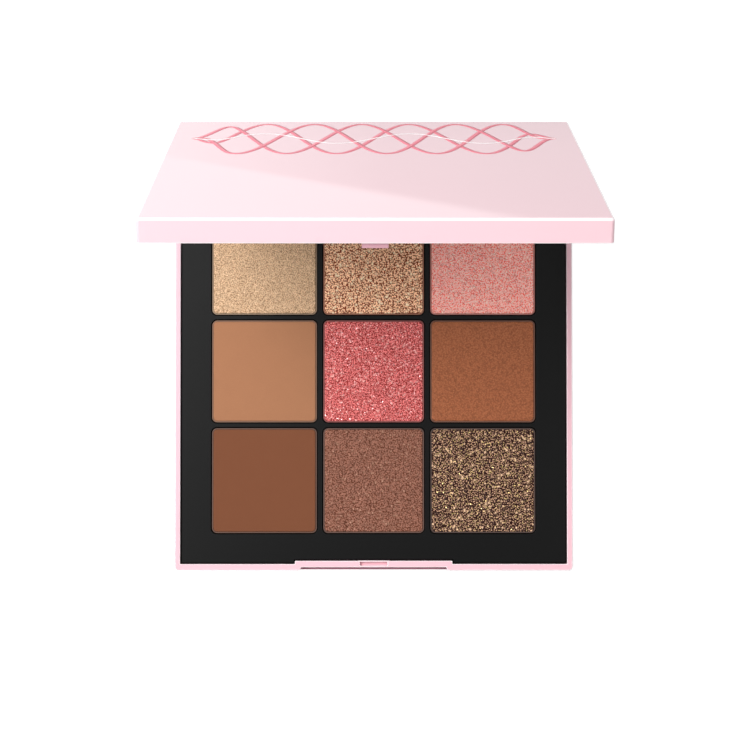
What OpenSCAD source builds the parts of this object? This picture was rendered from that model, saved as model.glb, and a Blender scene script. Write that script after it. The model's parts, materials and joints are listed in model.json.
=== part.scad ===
// Nine-pan eyeshadow palette: a shallow base and a mirrored lid on a two-pin hinge.
// The lid is drawn closed and then swung open about the hinge axis.
// Origin: centre of the base's underside. +X right, +Y to the hinge, +Z up. Millimetres.

/* [Powder pans] */
// Width and depth of the pans in the outer rows and columns
pan_w = 23; // [18:0.1:30]
// Width of the pans in the middle column
pan_mid_w = 22.1; // [17:0.1:30]
// Depth of the pans in the middle row
pan_mid_d = 22.4; // [17:0.1:30]
// Height of a pan
pan_h = 4; // [2.5:0.1:6]
// Thickness of the pans' tinplate
pan_sheet = 0.25; // [0.15:0.05:0.5]
// Corner radius of a pan, seen from above
pan_corner = 1.1; // [0.8:0.1:4]
// Radius between a pan's wall and its floor
pan_foot = 0.5; // [0.3:0.1:0.7]
// Gap between the pressed powder and the pan's wall
powder_gap = 0.03; // [0.01:0.01:0.1]
// Height of the pressed powder above the pan's rim
powder_crown = 0.1; // [0:0.05:0.5]
// Rounding of the powder's top edge
powder_edge = 0.2; // [0.05:0.05:0.4]
// Diameter of the glue dot under each pan
glue_d = 9; // [4:0.5:14]
// Thickness of the glue dot
glue_t = 0.15; // [0.05:0.05:0.4]

/* [Pan tray] */
// Gap between a pan and the wall of its well
well_gap = 0.2; // [0.05:0.05:0.5]
// Bar between two columns of wells
col_bar = 1.05; // [0.6:0.05:3]
// Bar between two rows of wells
row_bar = 0.9; // [0.6:0.05:3]
// Border from the wells to the tray's left and right edges
side_border = 6.5; // [3:0.1:15]
// Border from the wells to the tray's front edge
front_border = 6.35; // [3:0.1:15]
// Border from the wells to the tray's back edge
back_border = 6.5; // [3:0.1:20]
// Height of the tray's face above the pans' rims
pan_sink = 0.35; // [0:0.05:1]
// Thickness of the tray's face
tray_face = 1; // [0.6:0.1:1.6]
// Thickness of the tray's skirt and of the wells' outer walls
tray_wall = 0.9; // [0.6:0.1:1.5]
// Thickness of the wells' floors
well_floor = 0.8; // [0.5:0.1:1.5]
// Gap between the tray and the base's walls
tray_gap = 0.2; // [0.05:0.05:0.5]
// Gap between the tray's skirt and the base's floor
skirt_gap = 0.4; // [0.1:0.1:1]

/* [Base] */
// Left and right walls of the base
side_wall = 1.3; // [0.9:0.1:3]
// Front wall of the base
front_wall = 1.5; // [1.2:0.1:3]
// Solid band behind the tray that holds the hinge
hinge_deck = 7.65; // [7.2:0.05:15]
// Thickness of the base's floor
base_floor = 1.2; // [0.8:0.1:2.5]
// Height of the ribs that carry the tray
rib_h = 1.2; // [0.8:0.1:3]
// Thickness of the ribs
rib_t = 1; // [0.6:0.1:2]
// Depth of the tray's face below the base's rim
face_drop = 0.8; // [0.4:0.1:2]
// Corner radius of the base, seen from above
base_corner = 1; // [0.9:0.1:3]
// Rounding of the base's bottom edges
foot_round = 0.8; // [0.3:0.1:0.9]
// Rounding of the rim's outer edge
rim_round = 0.3; // [0.1:0.05:0.6]
// Width of the thumb notch in the front wall
notch_w = 32; // [15:0.5:60]
// Depth of the thumb notch
notch_d = 0.8; // [0.4:0.1:1.5]
// Thickness of the wall behind the thumb notch
notch_wall = 1.4; // [1.3:0.1:2]
// Height of the ledge below the thumb notch
notch_ledge = 3.7; // [1.5:0.1:5]
// How far the wall behind the notch runs past each end of it
notch_return = 1.25; // [0.8:0.05:3]

/* [Lid] */
// Height of the lid
lid_t = 4.7; // [4:0.1:8]
// Set-back of the lid from the base at the front and the sides
lid_inset = 0.5; // [0:0.1:1]
// Gap between the closed lid and the base's rim
lid_gap = 0.2; // [0.1:0.05:0.5]
// Walls of the lid
lid_wall = 1.5; // [0.9:0.1:2.5]
// Thickness of the lid's top
lid_top = 1.3; // [0.8:0.1:2]
// Corner radius of the lid, seen from above
lid_corner = 0.7; // [0.7:0.1:3]
// Rounding of the lid's top edge
lid_round = 0.55; // [0.3:0.05:0.65]
// Rounding of the lid's bottom edge
lid_foot = 0.2; // [0.1:0.05:0.5]
// Angle of the lid from closed
lid_open = 71; // [0:1:105]

/* [Mirror] */
// Thickness of the mirror glass
mirror_t = 1.4; // [0.8:0.1:1.8]
// Thickness of the tape behind the mirror
tape_t = 0.2; // [0.1:0.05:0.4]
// Set-back of the tape from the mirror's edges
tape_inset = 4; // [1:0.5:15]
// Width of the frame around the mirror
mirror_border = 3.5; // [2:0.5:15]
// Corner radius of the mirror
mirror_corner = 2; // [0.5:0.5:8]
// Gap around the mirror
mirror_gap = 0.2; // [0.05:0.05:0.5]
// Depth of the mirror's face below the frame
mirror_sink = 0.2; // [0:0.05:0.5]
// Gap between the mirror frame and the lid's walls
frame_gap = 0.15; // [0.05:0.05:0.5]
// Depth of the mirror frame below the lid's rim
frame_sink = 0.3; // [0:0.1:0.6]

/* [Hinge] */
// Radius of the hinge spine, with the axis this far in from the base's back and top
spine_r = 3.2; // [2.6:0.1:3.2]
// Radius of a hinge pin
pin_r = 0.75; // [0.5:0.05:1.2]
// Running clearance of a lid lug on its pin
pin_clear = 0.05; // [0.02:0.01:0.1]
// Interference of a pin in the base's bore
pin_press = 0.01; // [0:0.005:0.02]
// Depth of a pin's end below the base's side
pin_sink = 0.4; // [0:0.1:1]
// Bearing of a pin beyond the lug's inner face
pin_tail = 6; // [3:0.5:12]
// Width of a lid lug
lug_w = 14; // [6:0.5:20]
// Knuckle between a lid lug and the base's side
end_knuckle = 5.4; // [3:0.1:10]
// Gap on each side of a lug
lug_gap = 0.3; // [0.1:0.05:0.6]
// Largest angle of the lid, which sets the slope of the base's back
open_limit = 105; // [92:1:106]

/* [Catch] */
// Width of the lid's hook
hook_w = 4.9; // [3:0.1:10]
// Thickness of the hook
hook_t = 0.6; // [0.4:0.05:0.8]
// Length of the hook below the lid
hook_l = 1.05; // [0.6:0.05:1.5]
// Radius of the hook's snap bead
hook_bead = 0.12; // [0.05:0.01:0.2]
// Clearance between the hook's bead and its slot
hook_clear = 0.05; // [0.02:0.01:0.1]
// Gap at each end of the hook
hook_side = 0.6; // [0.2:0.1:1]
// Depth of the slot below the hook's tip
slot_extra = 0.4; // [0.1:0.1:1]
// Thickness of the slot's outer wall
slot_wall = 0.35; // [0.25:0.05:0.8]
// Thickness of the slot's inner lip
slot_lip = 0.3; // [0.2:0.05:0.8]

/* [Hidden] */
$fn = 40;
// Overshoot of a cut past the face that it opens
over = 1;

// Pans and wells, columns from left to right and rows from front to back
col_w = [pan_w, pan_mid_w, pan_w];
row_d = [pan_w, pan_mid_d, pan_w];
col_pitch = (pan_w + pan_mid_w) / 2 + 2 * well_gap + col_bar;
row_pitch = (pan_w + pan_mid_d) / 2 + 2 * well_gap + row_bar;
wells_w = 2 * col_pitch + pan_w + 2 * well_gap;
wells_d = 2 * row_pitch + pan_w + 2 * well_gap;

// Plan of the base
base_w = wells_w + 2 * (side_border + tray_gap + side_wall);
base_d = front_wall + front_border + wells_d + back_border + 2 * tray_gap + hinge_deck;
y_front = -base_d / 2;
y_back = base_d / 2;
cavity_w = base_w - 2 * side_wall;
cavity_front = y_front + front_wall;
cavity_back = y_back - hinge_deck;
wells_y = cavity_front + tray_gap + front_border + wells_d / 2;

// Heights, from the floor up
well_z = base_floor + rib_h + well_floor;
pan_z = well_z + glue_t;
rim_z = pan_z + pan_h;
face_z = rim_z + pan_sink;
base_h = face_z + face_drop;
lid_z = base_h + lid_gap;

// Hinge
axis_y = y_back - spine_r;
axis_z = base_h - spine_r;
back_slope = open_limit - 90;
lug_x = base_w / 2 - end_knuckle - lug_gap - lug_w / 2;
hinge_notch_d = 2 * spine_r + lug_gap;

// Lid and mirror
lid_w = base_w - 2 * lid_inset;
lid_d = base_d - lid_inset;
lid_y = y_back - lid_d / 2;
lid_cavity_w = lid_w - 2 * lid_wall;
lid_cavity_front = y_back - lid_d + lid_wall;
lid_cavity_d = cavity_back - lid_cavity_front;
lid_cavity_y = lid_cavity_front + lid_cavity_d / 2;
lid_cavity_h = lid_t - lid_top;
frame_w = lid_cavity_w - 2 * frame_gap;
frame_d = lid_cavity_d - 2 * frame_gap;
mirror_w = frame_w - 2 * (mirror_border + mirror_gap);
mirror_d = frame_d - 2 * (mirror_border + mirror_gap);
mirror_z = lid_z + frame_sink + mirror_sink;

// Catch: the hook hangs in a slot in the wall behind the thumb notch
slot_front = y_front + notch_d + slot_wall;
slot_d = hook_t + hook_bead + 2 * hook_clear;
slot_w = hook_w + 2 * hook_side;
slot_back = slot_front + slot_d;
slot_depth = hook_l - lid_gap + slot_extra;
hook_front = slot_front + hook_clear;
notch_wall_back = y_front + notch_d + notch_wall;

function pan_x(col) = (col - 1) * col_pitch;
function pan_y(row) = wells_y + (row - 1) * row_pitch;

// Rectangle centred on the origin with round corners
module round_rect(w, d, r) {
    square([w - 2 * r, d], center = true);
    square([w, d - 2 * r], center = true);
    for (sx = [-1, 1], sy = [-1, 1])
        translate([sx * (w / 2 - r), sy * (d / 2 - r)]) circle(r);
}

// Box between two plan corners, from z0 up to z1
module block(x0, x1, y0, y1, z0, z1) {
    translate([x0, y0, z0]) cube([x1 - x0, y1 - y0, z1 - z0]);
}

// Half profile of a slab from the middle out to reach, with a round foot and a round top
module edge_half(reach, h, foot_r, top_r) {
    translate([0, foot_r]) square([reach, h - foot_r - top_r]);
    if (foot_r > 0) {
        square([reach - foot_r, foot_r]);
        translate([reach - foot_r, foot_r]) quarter(foot_r, -1);
    }
    if (top_r > 0) {
        translate([0, h - top_r]) square([reach - top_r, top_r]);
        translate([reach - top_r, h - top_r]) quarter(top_r, 1);
    }
}

// Quarter of a disc: the outer half's upper (1) or lower (-1) part
module quarter(r, up) {
    intersection() {
        circle(r);
        translate([0, up > 0 ? 0 : -r]) square(r);
    }
}

// Slab on z = 0 with corners of radius corner_r and rounded bottom and top edges
module soft_slab(w, d, h, corner_r, foot_r, top_r) {
    run_w = w - 2 * corner_r;
    run_d = d - 2 * corner_r;
    for (sx = [-1, 1], sy = [-1, 1])
        translate([sx * run_w / 2, sy * run_d / 2])
            rotate_extrude() edge_half(corner_r, h, foot_r, top_r);
    translate([0, run_d / 2]) rotate([90, 0, 0]) linear_extrude(run_d)
        for (side = [0, 1]) mirror([side, 0]) edge_half(w / 2, h, foot_r, top_r);
    translate([-run_w / 2, 0]) rotate([90, 0, 90]) linear_extrude(run_w)
        for (side = [0, 1]) mirror([side, 0]) edge_half(d / 2, h, foot_r, top_r);
}

// Swings the closed lid's pieces open about the hinge axis
module on_lid() {
    translate([0, axis_y, axis_z]) rotate([-lid_open, 0, 0])
        translate([0, -axis_y, -axis_z]) children();
}

// Cylinder along X through the hinge axis
module on_axis(x0, x1, r) {
    translate([x0, axis_y, axis_z]) rotate([0, 90, 0]) cylinder(h = x1 - x0, r = r);
}

// Side view of the base: a round spine above a sloping back
module base_side() {
    foot_y = axis_y + (spine_r - axis_z * sin(back_slope)) / cos(back_slope);
    translate([y_front - over, 0]) square([axis_y - y_front + over, base_h]);
    translate([axis_y, axis_z]) circle(spine_r);
    polygon([
        [axis_y, 0], [foot_y, 0],
        [axis_y + spine_r * cos(back_slope), axis_z - spine_r * sin(back_slope)],
        [axis_y, axis_z]
    ]);
}

// Solid block of the base, cut at the back to its side view
module base_block() {
    intersection() {
        soft_slab(base_w, base_d, base_h, base_corner, foot_round, rim_round);
        translate([-base_w / 2, 0, 0]) rotate([90, 0, 90]) linear_extrude(base_w) base_side();
    }
}

// Plan of the base's cavity, shrunk by a gap: the tray takes the same outline
module cavity_plan(gap) {
    half_w = cavity_w / 2 - gap;
    step_w = notch_w / 2 + notch_return + gap;
    lip_w = slot_w / 2 + slot_lip + gap;
    difference() {
        translate([-half_w, cavity_front + gap])
            square([2 * half_w, cavity_back - cavity_front - 2 * gap]);
        translate([-step_w, y_front]) square([2 * step_w, notch_wall_back + gap - y_front]);
        translate([-lip_w, y_front]) square([2 * lip_w, slot_back + slot_lip + gap - y_front]);
    }
}

// Ribs on the base's floor, under the bars between the wells
module floor_ribs() {
    for (s = [-1, 1]) {
        block(s * col_pitch / 2 - rib_t / 2, s * col_pitch / 2 + rib_t / 2,
            wells_y - wells_d / 2, wells_y + wells_d / 2, base_floor / 2, base_floor + rib_h);
        block(-wells_w / 2, wells_w / 2,
            wells_y + s * row_pitch / 2 - rib_t / 2, wells_y + s * row_pitch / 2 + rib_t / 2,
            base_floor / 2, base_floor + rib_h);
    }
}

module base_shell() {
    color("pink") {
        difference() {
            base_block();
            translate([0, 0, base_floor]) linear_extrude(base_h) cavity_plan(0);
            block(-notch_w / 2, notch_w / 2, y_front - over, y_front + notch_d,
                notch_ledge, base_h + over);
            block(-slot_w / 2, slot_w / 2, slot_front, slot_back,
                base_h - slot_depth, base_h + over);
            for (s = [-1, 1]) {
                block(s * lug_x - lug_w / 2 - lug_gap, s * lug_x + lug_w / 2 + lug_gap,
                    y_back - hinge_notch_d, y_back + over, -over, base_h + over);
                mirror([s > 0 ? 0 : 1, 0, 0])
                    on_axis(lug_x - lug_w / 2 - lug_gap - pin_tail, base_w / 2 + over, pin_r - pin_press);
            }
        }
        floor_ribs();
    }
}

module pan_tray() {
    well_w = wells_w / 2 + tray_wall;
    well_d = wells_d / 2 + tray_wall;
    under_z = face_z - tray_face;
    color("black") difference() {
        translate([0, 0, base_floor + skirt_gap])
            linear_extrude(face_z - base_floor - skirt_gap) cavity_plan(tray_gap);
        difference() {
            translate([0, 0, -over]) linear_extrude(under_z + over) cavity_plan(tray_gap + tray_wall);
            block(-well_w, well_w, wells_y - well_d, wells_y + well_d,
                base_floor + rib_h, under_z + over);
        }
        for (col = [0:2], row = [0:2])
            translate([pan_x(col), pan_y(row), well_z]) linear_extrude(face_z)
                round_rect(col_w[col] + 2 * well_gap, row_d[row] + 2 * well_gap, pan_corner + well_gap);
    }
}

module pan(col, row) {
    inner_w = col_w[col] - 2 * pan_sheet;
    inner_d = row_d[row] - 2 * pan_sheet;
    color("silver") translate([pan_x(col), pan_y(row), pan_z]) difference() {
        soft_slab(col_w[col], row_d[row], pan_h, pan_corner, pan_foot, 0);
        translate([0, 0, pan_sheet])
            soft_slab(inner_w, inner_d, pan_h, pan_corner - pan_sheet, pan_foot - pan_sheet, 0);
    }
}

module powder(col, row, shade) {
    set_in = pan_sheet + powder_gap;
    color(shade) translate([pan_x(col), pan_y(row), pan_z + pan_sheet])
        soft_slab(col_w[col] - 2 * set_in, row_d[row] - 2 * set_in, pan_h - pan_sheet + powder_crown,
            pan_corner - set_in, pan_foot - pan_sheet, powder_edge);
}

module pan_glue() {
    color("ivory") for (col = [0:2], row = [0:2])
        translate([pan_x(col), pan_y(row), well_z]) cylinder(h = glue_t, d = glue_d);
}

module hinge_pin(side) {
    color("silver") mirror([side > 0 ? 0 : 1, 0, 0])
        on_axis(lug_x - lug_w / 2 - lug_gap - pin_tail, base_w / 2 - pin_sink, pin_r);
}

module lid_shell() {
    color("lavenderblush") on_lid() difference() {
        union() {
            difference() {
                translate([0, lid_y, lid_z])
                    soft_slab(lid_w, lid_d, lid_t, lid_corner, lid_foot, lid_round);
                translate([0, lid_cavity_y, lid_z - over]) linear_extrude(over + lid_cavity_h)
                    square([lid_cavity_w, lid_cavity_d], center = true);
            }
            for (s = [-1, 1]) {
                on_axis(s * lug_x - lug_w / 2, s * lug_x + lug_w / 2, spine_r);
                block(s * lug_x - lug_w / 2, s * lug_x + lug_w / 2,
                    axis_y - spine_r, y_back, axis_z, lid_z + lid_foot);
            }
            block(-hook_w / 2, hook_w / 2, hook_front, hook_front + hook_t,
                lid_z - hook_l, lid_z + lid_foot);
            translate([-hook_w / 2, hook_front + hook_t, lid_z - hook_l + hook_bead])
                rotate([0, 90, 0]) cylinder(h = hook_w, r = hook_bead);
        }
        on_axis(-lug_x - lug_w, -lug_x + lug_w, pin_r + pin_clear);
        on_axis(lug_x - lug_w, lug_x + lug_w, pin_r + pin_clear);
    }
}

module mirror_frame() {
    color("black") on_lid() translate([0, lid_cavity_y, 0]) difference() {
        block(-frame_w / 2, frame_w / 2, -frame_d / 2, frame_d / 2,
            lid_z + frame_sink, lid_z + lid_cavity_h);
        translate([0, 0, lid_z - over])
            linear_extrude(over + frame_sink + mirror_sink + mirror_t + tape_t)
                round_rect(mirror_w + 2 * mirror_gap, mirror_d + 2 * mirror_gap,
                    mirror_corner + mirror_gap);
    }
}

module mirror_glass() {
    color("lightsteelblue") on_lid() translate([0, lid_cavity_y, mirror_z])
        linear_extrude(mirror_t) round_rect(mirror_w, mirror_d, mirror_corner);
}

module mirror_tape() {
    color("white") on_lid() translate([0, lid_cavity_y, mirror_z + mirror_t])
        linear_extrude(tape_t)
            square([mirror_w - 2 * tape_inset, mirror_d - 2 * tape_inset], center = true);
}

base_shell();
pan_tray();
pan(0, 2);  // pan_back_left
pan(1, 2);  // pan_back_centre
pan(2, 2);  // pan_back_right
pan(0, 1);  // pan_middle_left
pan(1, 1);  // pan_middle_centre
pan(2, 1);  // pan_middle_right
pan(0, 0);  // pan_front_left
pan(1, 0);  // pan_front_centre
pan(2, 0);  // pan_front_right
powder(0, 2, "burlywood");  // powder_back_left
powder(1, 2, "peru");  // powder_back_centre
powder(2, 2, "darksalmon");  // powder_back_right
powder(0, 1, "tan");  // powder_middle_left
powder(1, 1, "indianred");  // powder_middle_centre
powder(2, 1, "sienna");  // powder_middle_right
powder(0, 0, "saddlebrown");  // powder_front_left
powder(1, 0, "rosybrown");  // powder_front_centre
powder(2, 0, "darkolivegreen");  // powder_front_right
pan_glue();
hinge_pin(-1);  // hinge_pin_left
hinge_pin(1);  // hinge_pin_right
lid_shell();
mirror_frame();
mirror_tape();
mirror_glass();
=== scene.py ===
"""Nine-pan eyeshadow palette: finishes, pressed powders, lid ornament and studio for the packed model."""

import json
import math
from typing import NamedTuple

import bmesh
import bpy
from bpy.props import FloatProperty, FloatVectorProperty, IntProperty, PointerProperty
from mathutils import Euler, Matrix, Vector

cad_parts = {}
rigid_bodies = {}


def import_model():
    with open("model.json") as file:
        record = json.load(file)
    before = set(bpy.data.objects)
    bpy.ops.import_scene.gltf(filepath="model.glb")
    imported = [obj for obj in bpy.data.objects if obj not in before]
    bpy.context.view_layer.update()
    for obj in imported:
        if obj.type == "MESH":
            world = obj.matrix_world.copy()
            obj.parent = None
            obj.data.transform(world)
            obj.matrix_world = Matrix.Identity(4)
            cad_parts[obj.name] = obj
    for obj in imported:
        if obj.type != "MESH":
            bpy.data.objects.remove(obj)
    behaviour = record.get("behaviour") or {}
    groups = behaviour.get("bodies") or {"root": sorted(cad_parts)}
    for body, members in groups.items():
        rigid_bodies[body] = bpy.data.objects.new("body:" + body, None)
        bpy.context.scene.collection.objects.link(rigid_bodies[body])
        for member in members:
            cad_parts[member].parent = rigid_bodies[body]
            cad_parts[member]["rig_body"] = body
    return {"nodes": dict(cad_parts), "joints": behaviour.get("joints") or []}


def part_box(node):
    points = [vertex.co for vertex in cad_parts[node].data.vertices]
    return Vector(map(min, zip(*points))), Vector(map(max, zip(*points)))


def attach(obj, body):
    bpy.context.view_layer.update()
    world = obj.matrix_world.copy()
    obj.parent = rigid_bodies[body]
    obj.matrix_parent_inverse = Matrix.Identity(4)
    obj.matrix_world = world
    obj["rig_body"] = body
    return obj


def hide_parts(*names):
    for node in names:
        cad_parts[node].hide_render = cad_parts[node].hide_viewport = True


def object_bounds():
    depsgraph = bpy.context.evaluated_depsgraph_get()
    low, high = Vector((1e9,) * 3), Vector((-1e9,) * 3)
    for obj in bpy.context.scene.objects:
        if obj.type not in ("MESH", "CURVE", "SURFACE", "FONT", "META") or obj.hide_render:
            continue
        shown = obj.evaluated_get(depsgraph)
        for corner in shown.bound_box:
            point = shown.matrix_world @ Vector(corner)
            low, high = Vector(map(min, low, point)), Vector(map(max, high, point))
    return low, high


bl_info = {
    "name": "Eyeshadow palette",
    "version": (1, 0, 0),
    "blender": (4, 5, 0),
    "location": "3D View > Sidebar > Palette",
    "description": "Dresses the nine-pan eyeshadow palette and sets up its studio",
    "category": "Object",
}

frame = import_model()

MM = 0.001
CAD_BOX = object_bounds()
LID_HINGE = next(joint for joint in frame["joints"] if joint["name"] == "lid_hinge")


# ---- settings

def srgb(red, green, blue):
    """Linear colour of a screen colour given from 0 to 255."""
    def linear(value):
        share = value / 255
        return share / 12.92 if share <= 0.04045 else ((share + 0.055) / 1.055) ** 2.4
    return (linear(red), linear(green), linear(blue))


def colour(name, description, value):
    return FloatVectorProperty(name=name, description=description, subtype="COLOR", size=3,
                               min=0, max=1, default=srgb(*value))


def length(name, description, value, low, high):
    """Length in millimetres, kept in metres."""
    return FloatProperty(name=name, description=description, subtype="DISTANCE", unit="LENGTH",
                         precision=5, default=value * MM, min=low * MM, max=high * MM)


def share(name, description, value):
    return FloatProperty(name=name, description=description, subtype="FACTOR",
                         default=value, min=0, max=1)


def number(name, description, value, low, high):
    return FloatProperty(name=name, description=description, default=value, min=low, max=high)


def power(name, description, watts):
    return FloatProperty(name=name, description=description, unit="POWER", default=watts, min=0, max=50)


def count(name, description, value, low, high):
    return IntProperty(name=name, description=description, default=value, min=low, max=high)


def angle(name, description, degrees, low, high):
    return FloatProperty(name=name, description=description, subtype="ANGLE", unit="ROTATION",
                         default=math.radians(degrees), min=math.radians(low), max=math.radians(high))


class PaletteCase(bpy.types.PropertyGroup):
    """Moulded plastic of the base, the lid and the pan tray"""

    base: colour("Base", "Colour of the base's pink plastic", (236, 190, 200))
    lid: colour("Lid", "Colour of the lid's paler, pearly plastic", (224, 189, 196))
    # Painted highlight: this pale colour is painted onto the shells' curved edges.
    edge_highlight: colour("Highlight", "Colour that the pink plastic takes on where it curves", (255, 246, 247))
    black: colour("Black", "Colour of the pan tray and the mirror frame", (3, 3, 3))
    # Painted shade: the hook and hinge lugs below the lid's seam, and the inside of the thumb notch, are
    # painted darker.
    raw: colour("Raw", "Colour of the unpolished hook and hinge lugs", (186, 142, 152))
    notch: colour("Notch", "Colour of the unpolished plastic inside the thumb notch", (184, 130, 145))
    gloss: share("Base roughness", "Roughness of the base's plastic", 0.1)
    lid_gloss: share("Lid roughness", "Roughness of the lid's polished plastic", 0.03)
    satin: share("Black roughness", "Roughness of the black plastic", 0.42)
    edge: length("Edge radius", "Radius of the lid's and the tray's moulded edges", 0.1, 0.02, 0.2)
    base_edge: length("Base edge radius", "Radius of the base's moulded edges", 0.15, 0.02, 0.2)


class PalettePowders(bpy.types.PropertyGroup):
    """Pressed powders and their glitter"""

    gold: colour("Gold", "Back left powder", (181, 148, 116))
    bronze: colour("Bronze", "Back centre powder", (207, 129, 94))
    rose_gold: colour("Rose gold", "Back right powder", (255, 160, 148))
    tan: colour("Tan", "Middle left powder", (158, 109, 78))
    coral: colour("Coral", "Middle centre powder", (181, 83, 80))
    sienna: colour("Sienna", "Middle right powder", (147, 86, 56))
    brown: colour("Brown", "Front left powder", (114, 68, 44))
    mauve: colour("Mauve", "Front centre powder", (119, 75, 59))
    plum: colour("Plum", "Front right powder", (84, 51, 41))
    corner: length("Corner", "Corner radius of the powders, seen from above", 0.82, 0.3, 2)
    edge: length("Edge", "Rounding of the powders' top edges", 0.2, 0.05, 0.4)
    relief: length("Relief", "Depth of the pressed surface's grain", 0.012, 0, 0.05)
    grain: length("Grain", "Size of the pressed surface's grain", 0.5, 0.2, 2)
    bed: length("Flake bed", "Depth of a glittering powder below its flakes' highest points",
                0.05, 0.02, 0.1)
    flake: length("Flake", "Width of a glitter flake", 0.22, 0.1, 0.8)
    tilt: angle("Flake tilt", "Largest tilt of a glitter flake", 14, 0, 40)


class PaletteOrnament(bpy.types.PropertyGroup):
    """Braided waves printed across the lid"""

    coral: colour("Coral ink", "Colour of the broad waves", (226, 119, 135))
    white: colour("White ink", "Colour of the fine wave", (255, 250, 250))
    margin: length("Margin", "Bare lid at each end of the waves", 4.5, 1, 20)
    setback: length("Set-back", "Bare lid between the hinge edge and the waves", 3, 1, 20)
    height: length("Height", "Height of the braid", 33, 10, 60)
    taper: length("Taper", "Length over which the waves close at each end", 9, 1, 30)
    stroke: length("Stroke", "Width of a broad wave", 1.15, 0.3, 2)
    fine_stroke: length("Fine stroke", "Width of the fine wave", 0.6, 0.1, 1)
    film: length("Film", "Thickness of the ink", 0.012, 0.005, 0.05)
    strands: count("Strands", "Number of broad waves in the braid", 3, 2, 6)
    waves: number("Waves", "Number of full waves across the lid", 2.5, 0.5, 8)


class PaletteStudio(bpy.types.PropertyGroup):
    """Floor, lights and camera"""

    floor: colour("Floor", "Colour of the floor, a lit white table", (98, 98, 98))
    floor_lift: number("Floor lift", "Brightness that the floor gives off by itself", 0.95, 0, 2)
    fill: number("Fill", "Brightness of the surroundings", 0.1, 0, 2)
    back_left: power("Back left", "Power of the high softbox at the back left", 2.34)
    left: power("Left", "Power of the high softbox on the left", 1.3)
    front: power("Front", "Power of the softbox at the front", 0.5)
    right: power("Right", "Power of the high softbox on the right", 0.75)
    back_right: power("Back right", "Power of the softbox at the back right", 0.1)
    near_left: power("Near left", "Power of the small near softbox at the back left", 0.1)
    panel: number("Panel", "Extra brightness of the table's panel behind the palette", 0.6, 0, 5)
    panel_start: length("Panel start", "Distance from the palette's middle to the panel's near edge",
                        72.5, 50, 200)
    panel_turn: angle("Panel turn", "Slant of the panel's near edge", 12, -45, 45)
    reach: length("Reach", "Distance of the softboxes from the palette", 600, 300, 2000)
    softness: length("Softness", "Width of the softboxes", 250, 50, 1000)
    lens: FloatProperty(name="Lens", description="Focal length of the camera", unit="CAMERA",
                        default=101.66, min=20, max=400)


# ---- frame measures

def lid_swing():
    """Takes a point of the closed lid to its place at rest."""
    pivot = Vector(LID_HINGE["pos_m"])
    opened = math.radians(-LID_HINGE["range_deg"][0])
    turn = Matrix.Rotation(opened, 4, Vector(LID_HINGE["axis"]))
    return Matrix.Translation(pivot) @ turn @ Matrix.Translation(-pivot)


def closed_box(node):
    """Lowest and highest corner of a lid node with the lid closed."""
    closing = lid_swing().inverted()
    corners = [closing @ vertex.co for vertex in frame["nodes"][node].data.vertices]
    low = Vector(min(corner[axis] for corner in corners) for axis in range(3))
    high = Vector(max(corner[axis] for corner in corners) for axis in range(3))
    return low, high


# ---- node helpers

def feed(tree, sockets, values):
    """Gives each named socket a plain value, or a link from another node's output."""
    for key, value in values.items():
        if isinstance(value, bpy.types.NodeSocket):
            tree.links.new(value, sockets[key])
        else:
            sockets[key].default_value = value


def add_node(tree, kind, inputs=None, **settings):
    made = tree.nodes.new(kind)
    for name, value in settings.items():
        setattr(made, name, value)
    feed(tree, made.inputs, inputs or {})
    return made


def maths(tree, operation, *values, clamp=False):
    return add_node(tree, "ShaderNodeMath", dict(enumerate(values)), operation=operation,
                    use_clamp=clamp).outputs[0]


def product(tree, first, *others):
    """All of the given values multiplied together."""
    for value in others:
        first = maths(tree, "MULTIPLY", first, value)
    return first


def vector_maths(tree, operation, *values):
    """Vector maths, where SCALE takes a vector and a factor."""
    inputs = {0: values[0], "Scale": values[1]} if operation == "SCALE" else dict(enumerate(values))
    made = add_node(tree, "ShaderNodeVectorMath", inputs, operation=operation)
    return made.outputs["Value" if operation == "DOT_PRODUCT" else "Vector"]


def split(tree, vector):
    """Outputs X, Y and Z of a vector."""
    return add_node(tree, "ShaderNodeSeparateXYZ", {0: vector}).outputs


def join(tree, **parts):
    """Vector with the given X, Y and Z."""
    return add_node(tree, "ShaderNodeCombineXYZ", parts).outputs[0]


def mix_colours(tree, factor, first, second):
    return add_node(tree, "ShaderNodeMix", {0: factor, 6: first, 7: second}, data_type="RGBA").outputs[2]


def remap(tree, value, low, high, new_low, new_high):
    given = dict(enumerate((value, low, high, new_low, new_high)))
    return add_node(tree, "ShaderNodeMapRange", given).outputs[0]


def own_place(tree):
    """Place on the piece, in metres."""
    return add_node(tree, "ShaderNodeTexCoord").outputs["Object"]


def noise(tree, place, per_metre, detail, **inputs):
    """Soft random pattern from 0 to 1, with so many waves to a metre."""
    return add_node(tree, "ShaderNodeTexNoise",
                    {"Vector": place, "Scale": per_metre, "Detail": detail, **inputs}).outputs[0]


def swing(tree, pattern, amount, reach=1.0):
    """A pattern from 0 to 1 centred on zero, then scaled by an amount and by its reach."""
    centred = maths(tree, "SUBTRACT", pattern, 0.5)
    return product(tree, centred, maths(tree, "MULTIPLY", amount, reach))


def new_group(name, kind, inputs, outputs):
    """Node group with named sockets: a name for a number, or a name, a type and perhaps a default."""
    tree = bpy.data.node_groups.new(name, kind)
    for way, sockets in (("INPUT", inputs), ("OUTPUT", outputs)):
        for entry in sockets:
            label, socket_kind, *default = (entry, "Float") if isinstance(entry, str) else entry
            socket = tree.interface.new_socket(label, in_out=way, socket_type=f"NodeSocket{socket_kind}")
            if default:
                socket.default_value = default[0]
    given = tree.nodes.new("NodeGroupInput").outputs
    result = tree.nodes.new("NodeGroupOutput").inputs
    return tree, given, result


def opaque(rgb):
    return (*rgb, 1.0)


# ---- shader groups

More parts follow.
